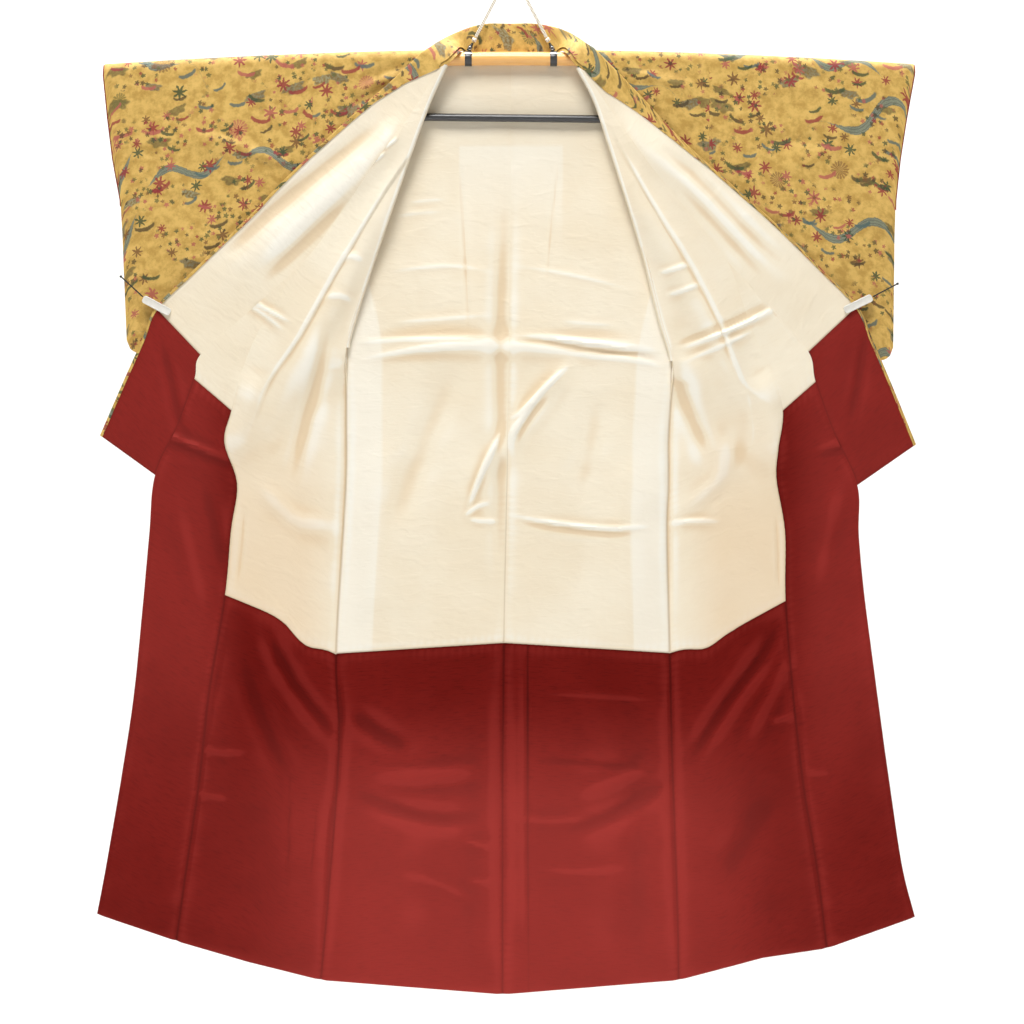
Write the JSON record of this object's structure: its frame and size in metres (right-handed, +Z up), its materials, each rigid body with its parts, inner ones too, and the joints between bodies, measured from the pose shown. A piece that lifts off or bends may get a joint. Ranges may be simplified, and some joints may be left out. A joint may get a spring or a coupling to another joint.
{
  "type": "lined kimono on a pole hanger",
  "caption": "Lined silk kimono hung on a pole hanger with both fronts turned back and clipped out, so that its pale body lining and dark red hem lining show.",
  "frame": {"origin": "inside top of the hanger's ring, where a hook holds it", "axes": "+Z up along the garment's length, +X to the viewer's right along the pole, viewer at -Y"},
  "size_m": [1.3646, 0.0488, 1.723],
  "materials": {
    "gold_silk": "figured silk crepe, soft sheen",
    "cream_silk": "plain silk satin",
    "red_silk": "plain silk, slightly slubby",
    "orange_wood": "varnished",
    "black_metal": "satin black",
    "black_cord": "braided",
    "steel": "plated",
    "white_cord": "braided",
    "white_plastic": "semi-gloss"
  },
  "bodies": {
    "root": {"collar": "gold_silk", "hanger_pole": "orange_wood", "hanger_ring": "steel", "lower_rod": "black_metal", "back_left": "gold_silk", "back_right": "gold_silk", "front_left": "gold_silk", "front_right": "gold_silk", "front_top_left": "gold_silk", "front_top_right": "gold_silk", "okumi_left": "gold_silk", "okumi_right": "gold_silk", "shoulder_left": "gold_silk", "shoulder_right": "gold_silk", "sleeve_left": "gold_silk", "sleeve_right": "gold_silk", "back_lining_left": "cream_silk", "back_lining_right": "cream_silk", "front_lining_left": "cream_silk", "front_lining_right": "cream_silk", "okumi_lining_left": "cream_silk", "okumi_lining_right": "cream_silk", "shoulder_lining_left": "cream_silk", "shoulder_lining_right": "cream_silk", "collar_lining_left": "cream_silk", "collar_lining_right": "cream_silk", "back_hem_lining_left": "red_silk", "back_hem_lining_right": "red_silk", "front_hem_lining_left": "red_silk", "front_hem_lining_right": "red_silk", "okumi_hem_lining_left": "red_silk", "okumi_hem_lining_right": "red_silk", "collar_end_lining_left": "red_silk", "collar_end_lining_right": "red_silk", "sleeve_cuff_lining_left": "red_silk", "sleeve_cuff_lining_right": "red_silk", "clip_left": "white_plastic", "clip_right": "white_plastic", "clip_cord_left": "black_cord", "clip_cord_right": "black_cord", "hanger_strap_left": "black_metal", "hanger_strap_right": "black_metal", "hanger_link_left": "black_metal", "hanger_link_right": "black_metal", "hanger_snap_left": "steel", "hanger_snap_right": "steel", "hanger_bead_left": "white_cord", "hanger_bead_right": "white_cord", "hanger_cord_left": "white_cord", "hanger_cord_right": "white_cord"}
  },
  "joints": []
}
